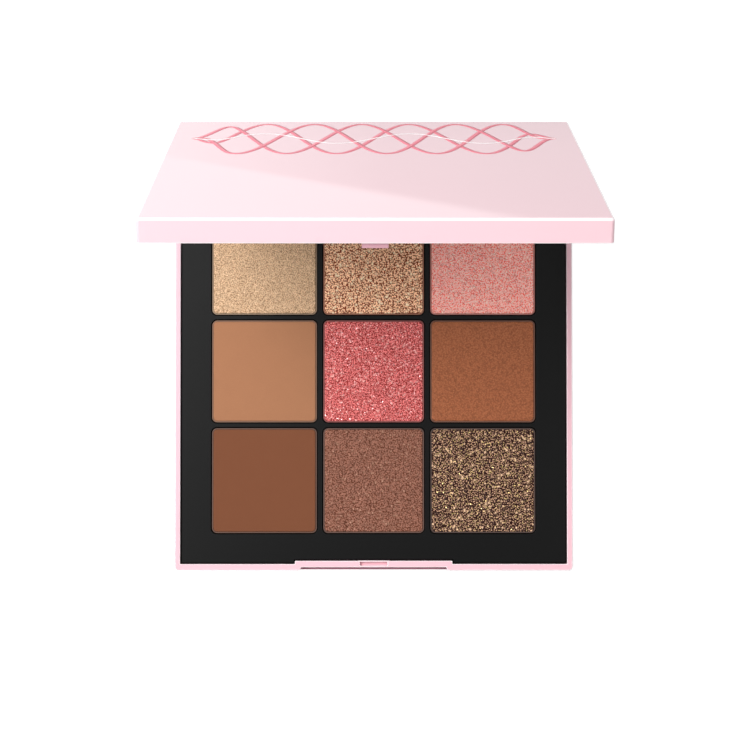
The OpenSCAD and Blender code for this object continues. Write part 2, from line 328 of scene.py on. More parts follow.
# Clouds to a metre: on moulded surfaces, on pressed powders, and in the drift of a powder's hue.
MOULDED_CLOUDS = 45.0
PRESSED_CLOUDS = 260.0
HUE_CLOUDS = 700.0

# How far a tone or a hue swings for an amount of one.
MOULDED_SWING = 2.0
GRAIN_SWING = 6.0
CLOUD_SWING = 3.0
HUE_SWING = 4.0

# Mica flecks, in shares of their spacing: a spot's squared radius when all is light, how much the
# radii differ, and the steepness of a spot's rim. Tones differ by the last two, in shares.
FULL_SPOT = 0.44
SPOT_SPREAD = 0.3
SPOT_RIM = 8.0
TONE_SPREAD = 0.4
DIMMEST_TONE = 0.8


def moulded_group(name):
    """Fine grain and faint clouding of a moulded or drawn surface."""
    tree, given, result = new_group(name, "ShaderNodeTree", [
        ("Colour", "Color"), "Clouding", "Roughness",
        ("Roughness Spread", "Float", 0.06), "Grain Size", ("Stretch", "Vector", (1, 1, 1)),
    ], [("Colour", "Color"), "Roughness", "Height"])
    place = own_place(tree)
    cloud = noise(tree, place, MOULDED_CLOUDS, detail=3.0)
    grain = noise(tree, vector_maths(tree, "MULTIPLY", place, given["Stretch"]),
                  maths(tree, "DIVIDE", 1.0, given["Grain Size"]), detail=3.0)
    tone = maths(tree, "ADD", swing(tree, cloud, given["Clouding"], MOULDED_SWING), 1.0)
    toned = add_node(tree, "ShaderNodeHueSaturation", {"Color": given["Colour"], "Value": tone})
    spread = swing(tree, grain, given["Roughness Spread"])
    rough = maths(tree, "ADD", given["Roughness"], spread, clamp=True)
    feed(tree, result, {"Colour": toned.outputs[0], "Roughness": rough, "Height": grain})
    return tree


def pressed_group(name):
    """Grainy, softly clouded face of a pressed powder."""
    tree, given, result = new_group(name, "ShaderNodeTree", [
        ("Colour", "Color"), ("Grain Size", "Float", 0.25 * MM), "Grain Contrast",
        "Clouding", "Hue Drift",
    ], [("Colour", "Color"), "Height"])
    place = own_place(tree)
    per_metre = maths(tree, "DIVIDE", 1.0, given["Grain Size"])
    fine = noise(tree, place, per_metre, detail=4.0, Roughness=0.65)
    cloud = noise(tree, place, PRESSED_CLOUDS, detail=3.0)
    drift = noise(tree, place, HUE_CLOUDS, detail=2.0)
    grain_tone = swing(tree, fine, given["Grain Contrast"], GRAIN_SWING)
    cloud_tone = swing(tree, cloud, given["Clouding"], CLOUD_SWING)
    toned = add_node(tree, "ShaderNodeHueSaturation", {
        "Color": given["Colour"],
        "Hue": maths(tree, "ADD", swing(tree, drift, given["Hue Drift"], HUE_SWING), 0.5),
        "Value": maths(tree, "ADD", maths(tree, "ADD", grain_tone, cloud_tone), 1.0),
    })
    feed(tree, result, {"Colour": toned.outputs[0], "Height": fine})
    return tree


def fleck_group(name):
    """Mica flecks pressed into a powder: small light spots on a darker ground, some of them sparkling."""
    tree, given, result = new_group(name, "ShaderNodeTree", [
        "Fleck Spacing", "Light Share", ("Dark", "Color"), ("Light", "Color"),
        ("Sparkle", "Color"), "Sparkle Share", "Tilt",
    ], [("Colour", "Color"), "Sparkle", ("Normal", "Vector")])
    cells = add_node(tree, "ShaderNodeTexVoronoi", {
        "Vector": own_place(tree), "Scale": maths(tree, "DIVIDE", 1.0, given["Fleck Spacing"]),
    }, voronoi_dimensions="2D").outputs
    chance = add_node(tree, "ShaderNodeSeparateColor", {0: cells["Color"]}).outputs
    radius = maths(tree, "SQRT", maths(tree, "MULTIPLY", given["Light Share"], FULL_SPOT))
    uneven = swing(tree, chance[0], SPOT_SPREAD)
    inside = maths(tree, "SUBTRACT", maths(tree, "ADD", radius, uneven), cells["Distance"])
    spot = maths(tree, "MULTIPLY_ADD", inside, SPOT_RIM, 0.5, clamp=True)
    sparkling = maths(tree, "GREATER_THAN", chance[1],
                      maths(tree, "SUBTRACT", 1.0, given["Sparkle Share"]))
    varied = maths(tree, "MULTIPLY_ADD", chance[2], TONE_SPREAD, DIMMEST_TONE)
    mixed = vector_maths(tree, "SCALE", mix_colours(tree, spot, given["Dark"], given["Light"]), varied)
    # Half a cell colour's full range is the furthest that it gets from grey, so a lean is doubled.
    upright = add_node(tree, "ShaderNodeNewGeometry").outputs["Normal"]
    lean = vector_maths(tree, "SCALE", vector_maths(tree, "SUBTRACT", cells["Color"], (0.5, 0.5, 0.5)),
                        maths(tree, "MULTIPLY", given["Tilt"], 2.0))
    tilted = vector_maths(tree, "NORMALIZE", vector_maths(tree, "ADD", upright, lean))
    coloured = mix_colours(tree, sparkling, mixed, given["Sparkle"])
    feed(tree, result, {"Colour": coloured, "Sparkle": sparkling, "Normal": tilted})
    return tree


def place_group(tree, name, builder, inputs):
    """Places the named shader group, which is built the first time that it is asked for."""
    group = bpy.data.node_groups.get(name) or builder(name)
    return add_node(tree, "ShaderNodeGroup", inputs, node_tree=group).outputs


# ---- materials

# A face counts as curved, and takes the painted edge highlight, between these shares of the given
# direction in its own: from where an upright wall begins to bend, and to where the bend becomes level.
WALL_BEND = (0.06, 0.3)
LEVEL_BEND = (0.93, 0.995)

# Height over which a mask fades out at its level.
LEVEL_FADE = 0.1 * MM

# Inside of the base's thumb notch, where shade is painted: half its width, its reach behind the base's
# front, the height of its ledge and the lip left above it.
NOTCH_HALF_WIDTH = 16.05 * MM
NOTCH_REACH = (0.08 * MM, 0.83 * MM)
NOTCH_LEDGE = 3.62 * MM
NOTCH_LIP = 0.2 * MM

# How much of a powder its flecks cover, the depth of a pressed face's grain, and the darkest
# flake's share of its colour.
FLECK_COVER = 0.94
PRESSED_DEPTH = 0.01 * MM
DARKEST_FLAKE = 0.45


def new_material(name):
    material = bpy.data.materials.new(name)
    material.use_nodes = True
    tree = material.node_tree
    return material, tree, tree.nodes["Principled BSDF"]


def bump(tree, height, depth, **inputs):
    return add_node(tree, "ShaderNodeBump",
                    {"Height": height, "Strength": 1.0, "Distance": depth, **inputs}).outputs[0]


def curve_mask(tree, up):
    """One where the surface curves away from the given direction, zero on level and upright faces."""
    facing = add_node(tree, "ShaderNodeTexCoord").outputs["Normal"]
    level = maths(tree, "ABSOLUTE", vector_maths(tree, "DOT_PRODUCT", facing, up))
    return product(tree, remap(tree, level, *WALL_BEND, 0, 1), remap(tree, level, *LEVEL_BEND, 1, 0))


def below_mask(tree, up, level):
    """One where the surface lies below the given level, measured along the given direction."""
    height = vector_maths(tree, "DOT_PRODUCT", own_place(tree), up)
    return remap(tree, height, level - LEVEL_FADE, level, 1, 0)


def notch_shade_mask(tree):
    """One on the ledge and the walls inside the base's thumb notch, where shade is painted."""
    low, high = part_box("base_shell")
    front = low[1]
    spot = split(tree, own_place(tree))
    return product(
        tree,
        maths(tree, "LESS_THAN", maths(tree, "ABSOLUTE", spot["X"]), NOTCH_HALF_WIDTH),
        maths(tree, "GREATER_THAN", spot["Y"], front + NOTCH_REACH[0]),
        maths(tree, "LESS_THAN", spot["Y"], front + NOTCH_REACH[1]),
        maths(tree, "GREATER_THAN", spot["Z"], NOTCH_LEDGE),
        maths(tree, "LESS_THAN", spot["Z"], high[2] - NOTCH_LIP),
    )


def moulded_material(name, rgb, roughness, spread=0.06, clouding=0.03, grain=0.2 * MM,
                     depth=0.002 * MM, stretch=(1, 1, 1), sheen=None, raw=None, **shader_values):
    """Plastic, metal, glass, glue or foam with the shared moulded surface.

    A painted highlight is a direction, a colour, a share and a level: edges that curve away from the
    direction take on that much of the colour as a painted highlight, as far down as the level.
    Painted shade is a mask and a colour: where the mask is one, the colour is painted in as shade.
    """
    material, tree, shader = new_material(name)
    surface = place_group(tree, "Moulded surface", moulded_group, {
        "Colour": opaque(rgb), "Clouding": clouding, "Roughness": roughness,
        "Roughness Spread": spread, "Grain Size": grain, "Stretch": stretch,
    })
    tinted = surface["Colour"]
    # Painted highlight: curved edges take on a pale colour.
    if sheen:
        up, highlight_rgb, highlight_share, level = sheen
        above = maths(tree, "SUBTRACT", 1.0, below_mask(tree, up, level))
        edges = product(tree, curve_mask(tree, up), highlight_share, above)
        tinted = mix_colours(tree, edges, tinted, opaque(highlight_rgb))
    # Painted shade: the masked parts take on a darker colour.
    if raw:
        shadowed, shade_tone = raw
        tinted = mix_colours(tree, shadowed(tree), tinted, opaque(shade_tone))
    feed(tree, shader.inputs, {
        "Base Color": tinted, "Roughness": surface["Roughness"],
        "Normal": bump(tree, surface["Height"], depth),
        **{key.replace("_", " "): value for key, value in shader_values.items()},
    })
    return material


def satin_black(name, case, **finish):
    return moulded_material(f"satin black {name}", case.black, case.satin, spread=0.12, clouding=0.1,
                            grain=0.16 * MM, **finish)


class Shade(NamedTuple):
    """Finish of one pressed powder.

    Dark, light and sparkle are shares of its colour, and a matte powder has no light share.
    Flakes are loose ones to a square millimetre.
    """
    colour: str
    grain_contrast: float
    clouding: float
    hue_drift: float = 0.0
    light_share: float = 0.0
    dark: tuple = ()
    light: tuple = ()
    sparkle: tuple = ()
    sparkle_share: float = 0.03
    metal: float = 0.1
    tilt: float = 0.3
    spacing: float = 0.3 * MM
    flakes: float = 0.0
    flake_colour: tuple = ()

    @property
    def slot(self):
        return f"powder_{self.colour}"


SHADES = {
    "back_left": Shade("gold", 0.03, 0.02, 0.008, 0.5, dark=(0.66, 0.6, 0.52), light=(1.42, 1.48, 1.58),
                       sparkle=(1.6, 1.7, 1.8), spacing=0.25 * MM),
    "back_centre": Shade("bronze", 0.05, 0.03, 0.01, 0.42, dark=(0.28, 0.12, 0.06),
                         light=(2.1, 2.75, 3.3), sparkle=(2.2, 3.6, 4.8), sparkle_share=0.06,
                         spacing=0.36 * MM, flakes=2.0, flake_colour=(240, 200, 165)),
    "back_right": Shade("rose_gold", 0.03, 0.02, 0.01, 0.55, dark=(0.92, 0.36, 0.32),
                        light=(1.0, 1.6, 1.66), sparkle=(1.06, 2.2, 2.2), metal=0.0,
                        spacing=0.26 * MM),
    "middle_left": Shade("tan", 0.03, 0.02),
    "middle_centre": Shade("coral", 0.04, 0.02, 0.008, 0.4, dark=(0.5, 0.2, 0.2), light=(1.7, 2.3, 2.4),
                           sparkle=(1.8, 4.2, 4.2), sparkle_share=0.06, flakes=1.2,
                           flake_colour=(250, 190, 190)),
    "middle_right": Shade("sienna", 0.03, 0.01, 0.003, 0.5, dark=(0.9, 0.86, 0.84),
                          light=(1.1, 1.14, 1.16), sparkle=(1.3, 1.3, 1.3), tilt=0.1),
    "front_left": Shade("brown", 0.02, 0.015),
    "front_centre": Shade("mauve", 0.03, 0.02, 0.008, 0.45, dark=(0.52, 0.37, 0.26),
                          light=(1.62, 1.86, 2.05), sparkle=(1.9, 2.6, 2.8)),
    "front_right": Shade("plum", 0.04, 0.03, 0.012, 0.15, dark=(0.16, 0.02, 0.0),
                         light=(7.0, 11.0, 10.4), sparkle=(8.0, 14.0, 13.0), sparkle_share=0.04,
                         spacing=0.36 * MM, flakes=2.5, flake_colour=(225, 195, 130)),
}


def shaded(rgb, shares):
    """Colour with each channel multiplied by its own share, as a shader colour."""
    return opaque(tuple(min(1.0, channel * part) for channel, part in zip(rgb, shares)))


def powder_material(place, shade, rgb):
    """Pressed powder, matte or with mica flecks."""
    material, tree, shader = new_material(f"powder {place}")
    pressed = place_group(tree, "Pressed powder", pressed_group, {
        "Colour": opaque(rgb), "Grain Contrast": shade.grain_contrast,
        "Clouding": shade.clouding, "Hue Drift": shade.hue_drift,
    })
    if not shade.light_share:
        feed(tree, shader.inputs, {
            "Base Color": pressed["Colour"], "Normal": bump(tree, pressed["Height"], PRESSED_DEPTH),
            "Roughness": 0.85, "Specular IOR Level": 0.25,
        })
        return material
    flecks = place_group(tree, "Mica flecks", fleck_group, {
        "Fleck Spacing": shade.spacing, "Light Share": shade.light_share, "Tilt": shade.tilt,
        "Dark": shaded(rgb, shade.dark), "Light": shaded(rgb, shade.light),
        "Sparkle": shaded(rgb, shade.sparkle), "Sparkle Share": shade.sparkle_share,
    })
    feed(tree, shader.inputs, {
        "Base Color": mix_colours(tree, FLECK_COVER, pressed["Colour"], flecks["Colour"]),
        "Roughness": remap(tree, flecks["Sparkle"], 0, 1, 0.5, 0.35),
        "Normal": bump(tree, pressed["Height"], PRESSED_DEPTH, Normal=flecks["Normal"]),
        "Specular IOR Level": 0.12, "Metallic": shade.metal,
    })
    return material


def flake_material(place, shade):
    """Loose-looking glitter flakes, each with its own tone."""
    material, tree, shader = new_material(f"flakes {place}")
    tint = add_node(tree, "ShaderNodeAttribute", attribute_name="tint").outputs["Fac"]
    rgb = srgb(*shade.flake_colour)
    feed(tree, shader.inputs, {
        "Base Color": mix_colours(tree, tint, shaded(rgb, (DARKEST_FLAKE,) * 3), opaque(rgb)),
        "Roughness": remap(tree, tint, 0, 1, 0.45, 0.28), "Metallic": 0.75,
    })
    return material


# ---- mesh helpers

# Rounding a CAD shape: points closer than this are one, faces within the first angle are one,
# edges past the second are rounded in so many steps, and edges past the third stay crisp.
MERGE_DISTANCE = 0.001 * MM
FLAT_ANGLE = math.radians(0.5)
EDGE_ANGLE = math.radians(40)
EDGE_STEPS = 3
CRISP_ANGLE = math.radians(30)


def show(name, mesh, material=None):
    """Puts a mesh in the scene as a piece at the origin."""
    piece = bpy.data.objects.new(name, mesh)
    bpy.context.scene.collection.objects.link(piece)
    if material:
        mesh.materials.clear()
        mesh.materials.append(material)
    return piece


def mesh_from(work, name):
    """Mesh of a finished bmesh, which is freed."""
    mesh = bpy.data.meshes.new(name)
    work.to_mesh(mesh)
    work.free()
    return mesh


def repaint(node, material):
    """Gives a CAD node a material in each of its slots."""
    piece = frame["nodes"][node]
    if not piece.material_slots:
        piece.data.materials.append(material)
    for slot in piece.material_slots:
        slot.material = material


def settled(piece):
    """The piece's mesh with its modifiers applied, and the modifiers gone."""
    depsgraph = bpy.context.evaluated_depsgraph_get()
    mesh = bpy.data.meshes.new_from_object(piece.evaluated_get(depsgraph), depsgraph=depsgraph)
    piece.modifiers.clear()
    piece.data = mesh
    mesh.name = piece.name
    return mesh


def soft_copy(node, name, radius, material):
    """A CAD node's own shape with its sharp edges rounded, in place of the node."""
    work = bmesh.new()
    work.from_mesh(frame["nodes"][node].data)
    bmesh.ops.remove_doubles(work, verts=work.verts, dist=MERGE_DISTANCE)
    bmesh.ops.dissolve_limit(work, angle_limit=FLAT_ANGLE, verts=work.verts, edges=work.edges)
    piece = show(name, mesh_from(work, name), material)
    rounding = piece.modifiers.new("Moulded edges", "BEVEL")
    rounding.limit_method = "ANGLE"
    rounding.angle_limit = EDGE_ANGLE
    rounding.width = radius
    rounding.segments = EDGE_STEPS
    rounding.use_clamp_overlap = False
    mesh = settled(piece)
    mesh.shade_smooth()
    mesh.set_sharp_from_angle(angle=CRISP_ANGLE)
    piece.modifiers.new("Level faces", "WEIGHTED_NORMAL").keep_sharp = True
    low, high = CAD_BOX
    for vertex in settled(piece).vertices:
        vertex.co = Vector(max(low[axis], min(high[axis], vertex.co[axis])) for axis in range(3))
    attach(piece, frame["nodes"][node]["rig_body"])
    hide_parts(node)
    return piece


def add_tree(piece, tree, values):
    """Puts a Geometry Nodes tree on a piece, with its inputs given by name."""
    modifier = piece.modifiers.new(tree.name, "NODES")
    modifier.node_group = tree
    for item in tree.interface.items_tree:
        if item.item_type == "SOCKET" and item.in_out == "INPUT" and item.name in values:
            modifier[item.identifier] = values[item.name]


# ---- geometry trees

# Steepness with which the pressed grain fades out over a rounded edge.
TOP_FADE = 4.0

# Glitter flakes: their sides, the smallest one's share of the full width, and how level the face
# that they lie on has to be.
FLAKE_SIDES = 6
SMALLEST_FLAKE = 0.55
LEVEL_FACE = 0.9

# Printed waves: points along one, and the height of each over the last in shares of the film.
WAVE_POINTS = 240
LAYER_SHARE = 0.25


def finish_tree(tree, geometry, material, result):
    real = add_node(tree, "GeometryNodeRealizeInstances", {"Geometry": geometry}).outputs[0]
    painted = add_node(tree, "GeometryNodeSetMaterial", {"Geometry": real, "Material": material})
    tree.links.new(painted.outputs[0], result["Geometry"])


def facing_up(tree):
    """Upward share of the surface's own direction."""
    return split(tree, add_node(tree, "GeometryNodeInputNormal").outputs[0])["Z"]


def relief_tree():
    """Sinks the top of a pressed powder by a fine random grain."""
    tree, given, result = new_group("Pressed relief", "GeometryNodeTree", [
        ("Geometry", "Geometry"), "Depth", "Bed", "Grain Size",
        "Seed", ("Material", "Material"),
    ], [("Geometry", "Geometry")])
    top = maths(tree, "POWER", maths(tree, "MAXIMUM", facing_up(tree), 0.0), TOP_FADE)
    grain = add_node(tree, "ShaderNodeTexNoise", {
        "Vector": add_node(tree, "GeometryNodeInputPosition").outputs[0], "W": given["Seed"],
        "Scale": maths(tree, "DIVIDE", 1.0, given["Grain Size"]), "Detail": 2.0,
    }, noise_dimensions="4D")
    dip = maths(tree, "MULTIPLY_ADD", grain.outputs[0], given["Depth"], given["Bed"])
    moved = add_node(tree, "GeometryNodeSetPosition",
                     {"Geometry": given["Geometry"], "Offset": join(tree, Z=product(tree, dip, top, -1.0))})
    finish_tree(tree, moved.outputs[0], given["Material"], result)
    return tree


def random_share(tree, least, seed):
    """Random number for each flake, from the least to one."""
    return add_node(tree, "FunctionNodeRandomValue", {2: least, 3: 1.0, "Seed": seed},
                    data_type="FLOAT").outputs[1]


def flake_tree():
    """Scatters tilted six-sided flakes over the level top of a powder."""
    tree, given, result = new_group("Glitter flakes", "GeometryNodeTree", [
        ("Geometry", "Geometry"), "Density", "Flake Size", "Tilt",
        "Lift", ("Seed", "Int"), ("Material", "Material"),
    ], [("Geometry", "Geometry")])
    spots = add_node(tree, "GeometryNodeDistributePointsOnFaces", {
        "Mesh": given["Geometry"], "Density": given["Density"], "Seed": given["Seed"],
        "Selection": maths(tree, "GREATER_THAN", facing_up(tree), LEVEL_FACE),
    })
    lifted = add_node(tree, "GeometryNodeSetPosition",
                      {"Geometry": spots.outputs["Points"], "Offset": join(tree, Z=given["Lift"])})
    disc = add_node(tree, "GeometryNodeMeshCircle",
                    {"Vertices": FLAKE_SIDES, "Radius": product(tree, given["Flake Size"], 0.5)},
                    fill_type="NGON")
    least = product(tree, given["Tilt"], -1.0)
    turned = add_node(tree, "FunctionNodeRandomValue", {
        "Min": join(tree, X=least, Y=least),
        "Max": join(tree, X=given["Tilt"], Y=given["Tilt"], Z=math.tau), "Seed": given["Seed"],
    }, data_type="FLOAT_VECTOR")
    flakes = add_node(tree, "GeometryNodeInstanceOnPoints", {
        "Points": lifted.outputs[0], "Instance": disc.outputs["Mesh"],
        "Rotation": turned.outputs[0], "Scale": random_share(tree, SMALLEST_FLAKE, given["Seed"]),
    })
    tinted = add_node(tree, "GeometryNodeStoreNamedAttribute", {
        "Geometry": flakes.outputs[0], "Name": "tint", "Value": random_share(tree, 0.0, given["Seed"]),
    }, data_type="FLOAT", domain="INSTANCE")
    finish_tree(tree, tinted.outputs[0], given["Material"], result)
    return tree


def wave_tree():
    """Flat ribbons that follow sine waves, each a share of a wave behind the last."""
    tree, given, result = new_group("Braided waves", "GeometryNodeTree", [
        ("Geometry", "Geometry"), "Length", "Amplitude", "Waves",
        ("Strands", "Int"), "Stroke", "Swell", "Taper",
        "Film", ("Material", "Material"),
    ], [("Geometry", "Geometry")])
    half = product(tree, given["Length"], 0.5)
    line = add_node(tree, "GeometryNodeCurvePrimitiveLine",
                    {"Start": join(tree, X=product(tree, half, -1.0)), "End": join(tree, X=half)})
    fine = add_node(tree, "GeometryNodeResampleCurve", {"Curve": line.outputs[0], "Count": WAVE_POINTS})
    copies = add_node(tree, "GeometryNodeDuplicateElements",
                      {"Geometry": fine.outputs[0], "Amount": given["Strands"]}, domain="SPLINE").outputs
    strand = copies["Duplicate Index"]
    along = split(tree, add_node(tree, "GeometryNodeInputPosition").outputs[0])["X"]
    turns = product(tree, maths(tree, "DIVIDE", along, given["Length"]), given["Waves"])
    behind = maths(tree, "DIVIDE", strand, given["Strands"])
    phase = product(tree, maths(tree, "ADD", turns, behind), math.tau)
    to_end = maths(tree, "SUBTRACT", half, maths(tree, "ABSOLUTE", along))
    opening = add_node(tree, "ShaderNodeMapRange", {0: to_end, 1: 0.0, 2: given["Taper"]},
                       interpolation_type="SMOOTHSTEP").outputs[0]
    rise = product(tree, maths(tree, "SINE", phase), product(tree, opening, given["Amplitude"]))
    layer = product(tree, strand, product(tree, given["Film"], LAYER_SHARE))
    waved = add_node(tree, "GeometryNodeSetPosition",
                     {"Geometry": copies["Geometry"], "Offset": join(tree, Y=rise, Z=layer)})
    upright = add_node(tree, "GeometryNodeSetCurveNormal", {"Curve": waved.outputs[0]}, mode="Z_UP")
    steepness = maths(tree, "ABSOLUTE", maths(tree, "COSINE", phase))
    width = maths(tree, "MULTIPLY_ADD", steepness, given["Swell"],
                  maths(tree, "SUBTRACT", 1.0, given["Swell"]))
    sized = add_node(tree, "GeometryNodeSetCurveRadius", {"Curve": upright.outputs[0], "Radius": width})
    profile = add_node(tree, "GeometryNodeCurvePrimitiveQuadrilateral",
                       {"Width": given["Stroke"], "Height": given["Film"]}, mode="RECTANGLE")
    ribbon = add_node(tree, "GeometryNodeCurveToMesh", {
        "Curve": sized.outputs[0], "Profile Curve": profile.outputs[0], "Fill Caps": True,
    })
    finish_tree(tree, ribbon.outputs[0], given["Material"], result)
    return tree


# ---- powders

# Squares from the middle of a cake to its side, rings round its top edge, and the shortest length
# that still has a direction.
CAKE_CELLS = 64
EDGE_RINGS = 4
TINY = 1e-9


def rounded_point(side_x, side_y, half_x, half_y, corner):
    """Point of a rounded rectangle's outline for a point of the unit square's outline."""
    x, y = side_x * half_x, side_y * half_y
    near_x = max(-(half_x - corner), min(half_x - corner, x))
    near_y = max(-(half_y - corner), min(half_y - corner, y))
    out = Vector((x - near_x, y - near_y))
    if out.length < TINY:
        return x, y
    out.normalize()
    return near_x + out.x * corner, near_y + out.y * corner


def cake_mesh(name, low, high, corner, edge):
    """Pressed cake: a level top of fine squares, a rounded edge, a plain wall and a closed floor."""
    middle = (low + high) / 2
    half_x, half_y = (high.x - low.x) / 2, (high.y - low.y) / 2
    bends = [step / EDGE_RINGS * math.pi / 2 for step in range(1, EDGE_RINGS + 1)]
    rings = [(edge * math.sin(bend), high.z - edge * (1 - math.cos(bend))) for bend in bends]
    rings.append((edge, low.z))
    work = bmesh.new()
    grid = {}

    def add_point(key, side_x, side_y, scale, grown, z):
        flat_x, flat_y = half_x - edge + grown, half_y - edge + grown
        x, y = rounded_point(side_x, side_y, flat_x, flat_y, corner - edge + grown)
        grid[key] = work.verts.new((middle.x + x * scale, middle.y + y * scale, z))

    span = range(-CAKE_CELLS, CAKE_CELLS + 1)
    for i in span:
        for j in span:
            ring = max(abs(i), abs(j), 1)
            add_point((i, j), i / ring, j / ring, ring / CAKE_CELLS if (i or j) else 0, 0, high.z)
    for i in range(-CAKE_CELLS, CAKE_CELLS):
        for j in range(-CAKE_CELLS, CAKE_CELLS):
            work.faces.new([grid[i, j], grid[i + 1, j], grid[i + 1, j + 1], grid[i, j + 1]])

    n = CAKE_CELLS
    around = ([(i, -n) for i in range(-n, n)] + [(n, j) for j in range(-n, n)]
              + [(i, n) for i in range(n, -n, -1)] + [(-n, j) for j in range(n, -n, -1)])
    upper = [grid[key] for key in around]
    for step, (grown, z) in enumerate(rings):
        for i, j in around:
            add_point((step, i, j), i / n, j / n, 1, grown, z)
        lower = [grid[step, i, j] for i, j in around]
        for here in range(len(around)):
            after = (here + 1) % len(around)
            work.faces.new([upper[here], lower[here], lower[after], upper[after]])
        upper = lower
    work.faces.new(list(reversed(upper)))
    return mesh_from(work, name)


# ---- operators

# Depth below the base's rim that takes the painted highlight, and the highlight's share on base and lid
# edges.
RIM_HIGHLIGHT_DEPTH = 0.4 * MM
BASE_HIGHLIGHT_SHARE = 0.95
LID_HIGHLIGHT_SHARE = 0.75

# Bare tinplate, and how much of it and of the powder's dust a pan shows.
TINPLATE = srgb(150, 144, 140)
BARE_SHARE = 0.12
DUST_SHARE = 0.42

# Height of the loose flakes over their powder.
FLAKE_LIFT = 0.02 * MM

# How much of a wave's width comes only where it is steep, and the fine wave's share of the height.
BRAID_SWELL = 0.45
FINE_SWELL = 0.2
FINE_HEIGHT = 1 / 3


class PALETTE_OT_case(bpy.types.Operator):
    """Give the base and the lid rounded edges and glossy pink plastic, with painted highlights on their
    curved edges and painted shade in the thumb notch, on the hook and on the hinge lugs
    """

    bl_idname = "palette.case"
    bl_label = "Case"

    def execute(self, context):
        case = context.scene.palette_case
        up = Vector((0, 0, 1))
        lid_up = lid_swing().to_3x3() @ up
        base_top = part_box("base_shell")[1][2]
        seam = (lid_swing() @ (base_top * up)).dot(lid_up)

        # Painted shade on everything of the lid below its seam: the hook and the hinge lugs.
        def hook_shade_mask(tree):
            return below_mask(tree, lid_up, seam)

        # Painted highlights on both shells' curved edges; painted shade in the base's thumb notch and on
        # the lid's hook and hinge lugs.
        self.mould("base", case.base, case.base_edge, case.gloss, Specular_IOR_Level=0.5,
                   sheen=(up, case.edge_highlight, BASE_HIGHLIGHT_SHARE, base_top - RIM_HIGHLIGHT_DEPTH),
                   raw=(notch_shade_mask, case.notch))
        self.mould("lid", case.lid, case.edge, case.lid_gloss, Specular_IOR_Level=0.1,
                   sheen=(lid_up, case.edge_highlight, LID_HIGHLIGHT_SHARE, seam), raw=(hook_shade_mask, case.raw))
        return {"FINISHED"}

    def mould(self, name, rgb, edge, gloss, **finish):
        pink = moulded_material(f"glossy pink {name}", rgb, gloss, spread=0.01, clouding=0.012,
                                grain=0.6 * MM, depth=0.0003 * MM, **finish)
        soft_copy(f"{name}_shell", name, edge, pink)


class PALETTE_OT_tray(bpy.types.Operator):
    """Give the pan tray rounded edges and satin black plastic"""

    bl_idname = "palette.tray"
    bl_label = "Pan tray"

    def execute(self, context):
        case = context.scene.palette_case
        black = satin_black("tray", case, depth=0.003 * MM, Specular_IOR_Level=0.13)
        soft_copy("pan_tray", "tray", case.edge, black)
        return {"FINISHED"}


class PALETTE_OT_pans(bpy.types.Operator):
    """Finish the nine drawn pans in thin tinplate, each dusted with its powder"""

    bl_idname = "palette.pans"
    bl_label = "Pans"

    def execute(self, context):
        powders = context.scene.palette_powders
        for place, shade in SHADES.items():
            dusted = [BARE_SHARE * bare + DUST_SHARE * dust
                      for bare, dust in zip(TINPLATE, getattr(powders, shade.colour))]
            tin = moulded_material(f"dusted tinplate {place}", dusted, 0.45, spread=0.15,
                                   clouding=0.06, grain=0.3 * MM, depth=0.001 * MM,
                                   stretch=(1, 1, 0.2), Metallic=0.2, Specular_IOR_Level=0.25)
            repaint(f"pan_{place}", tin)
        return {"FINISHED"}


class PALETTE_OT_powders(bpy.types.Operator):
    """Press the nine powders into their pans"""

    bl_idname = "palette.powders"
    bl_label = "Pressed powders"

    def execute(self, context):
        powders = context.scene.palette_powders
        relief = relief_tree()
        for seed, (place, shade) in enumerate(SHADES.items()):
            node = f"powder_{place}"
            material = powder_material(place, shade, getattr(powders, shade.colour))
            mesh = cake_mesh(f"cake_{place}", *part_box(node), powders.corner, powders.edge)
            cake = show(f"cake_{place}", mesh, material)
            add_tree(cake, relief, {
                "Depth": powders.relief, "Bed": powders.bed if shade.flakes else 0.0,
                "Grain Size": powders.grain, "Seed": float(seed), "Material": material,
            })
            settled(cake).shade_smooth()
            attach(cake, "base")
            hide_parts(node)
        return {"FINISHED"}


class PALETTE_OT_flakes(bpy.types.Operator):
    """Scatter glitter flakes over the glittering powders"""

    bl_idname = "palette.flakes"
    bl_label = "Glitter flakes"

    def execute(self, context):
        powders = context.scene.palette_powders
        scatter = flake_tree()
        for seed, (place, shade) in enumerate(SHADES.items()):
            if not shade.flakes:
                continue
            cake = bpy.data.objects[f"cake_{place}"]
            material = flake_material(place, shade)
            flakes = show(f"flakes_{place}", cake.data.copy())
            add_tree(flakes, scatter, {
                "Density": shade.flakes / MM ** 2, "Flake Size": powders.flake,
                "Tilt": powders.tilt, "Lift": FLAKE_LIFT, "Seed": seed, "Material": material,
            })
            settled(flakes)
            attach(flakes, "base")
        return {"FINISHED"}


class PALETTE_OT_mirror(bpy.types.Operator):
    """Finish the mirror, its frame and the tape behind it"""

    bl_idname = "palette.mirror"
    bl_label = "Mirror"

    def execute(self, context):
        silver = moulded_material("silvered glass", srgb(225, 230, 231), 0.02, spread=0.01,
                                  clouding=0.01, grain=2 * MM, depth=0, Metallic=1.0)
        foam = moulded_material("foam tape", srgb(240, 238, 234), 0.8, spread=0.1, clouding=0.05,
                                grain=0.1 * MM, depth=0.02 * MM)
        repaint("mirror_frame", satin_black("frame", context.scene.palette_case))
        repaint("mirror_glass", silver)
        repaint("mirror_tape", foam)
        return {"FINISHED"}


